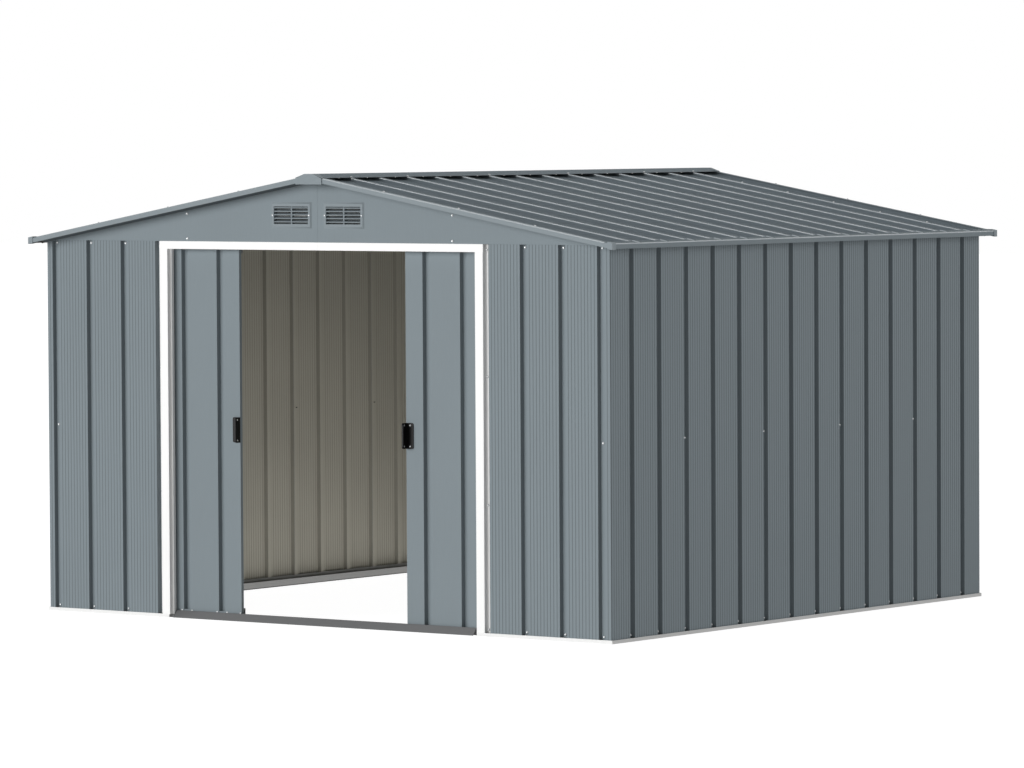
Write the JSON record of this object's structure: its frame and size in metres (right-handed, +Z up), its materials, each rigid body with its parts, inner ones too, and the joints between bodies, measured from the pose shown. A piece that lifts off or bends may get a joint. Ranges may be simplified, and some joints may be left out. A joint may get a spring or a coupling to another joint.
{
  "type": "metal storage shed",
  "caption": "Walk-in garden storage shed of ribbed painted steel sheet with a low gable roof, louvred gable vents and a doorway closed by a pair of sliding doors.",
  "frame": {"origin": "on the ground, in the middle of the shed's plan", "axes": "+X to the right seen from the front, +Y from the doorway to the rear wall, +Z up"},
  "size_m": [3.2116, 3.0306, 1.9597],
  "materials": {
    "wall_paint": "satin grey paint on steel sheet",
    "roof_paint": "satin grey paint on steel sheet",
    "trim_paint": "satin grey paint on folded steel",
    "frame_paint": "satin white paint on folded steel",
    "galvanised": "galvanised",
    "sill": "satin dark grey",
    "moulding": "matt black moulding"
  },
  "bodies": {
    "shed": {"base_rail_left": "frame_paint", "base_rail_right": "frame_paint", "base_rail_rear": "frame_paint", "base_rails_front": "frame_paint", "bottom_door_track": "galvanised", "door_sill": "sill", "corner_sheet_front_left": "wall_paint", "corner_sheet_front_right": "wall_paint", "corner_sheet_rear_left": "wall_paint", "corner_sheet_rear_right": "wall_paint", "front_wall_left": "wall_paint", "front_wall_right": "wall_paint", "left_wall": "wall_paint", "right_wall": "wall_paint", "rear_wall": "wall_paint", "door_jamb_left": "frame_paint", "door_jamb_right": "frame_paint", "door_header": "frame_paint", "door_head_channel": "galvanised", "side_top_rails": "galvanised", "rear_top_rail": "galvanised", "front_gable_left": "wall_paint", "front_gable_right": "wall_paint", "rear_gable_left": "wall_paint", "rear_gable_right": "wall_paint", "front_vents": "wall_paint", "rear_vents": "wall_paint", "ridge_beam": "galvanised", "roof_purlins": "galvanised", "roof_left": "roof_paint", "roof_right": "roof_paint", "front_verge_trims": "trim_paint", "rear_verge_trims": "trim_paint", "eave_trims": "trim_paint", "eave_corner_caps": "trim_paint", "ridge_cap": "roof_paint", "ridge_end_caps": "trim_paint"},
    "left_leaf": {"left_door": "wall_paint", "left_door_rails": "galvanised", "left_door_gliders": "moulding", "left_handle": "moulding"},
    "right_leaf": {"right_door": "wall_paint", "right_door_rails": "galvanised", "right_door_gliders": "moulding", "right_handle": "moulding"}
  },
  "joints": [
    {"name": "left_door_slide", "type": "slide", "parent": "shed", "child": "left_leaf", "axis": [1, 0, 0], "range_m": [-0.155, 0.4675]},
    {"name": "right_door_slide", "type": "slide", "parent": "shed", "child": "right_leaf", "axis": [-1, 0, 0], "range_m": [-0.178, 0.4445]}
  ]
}
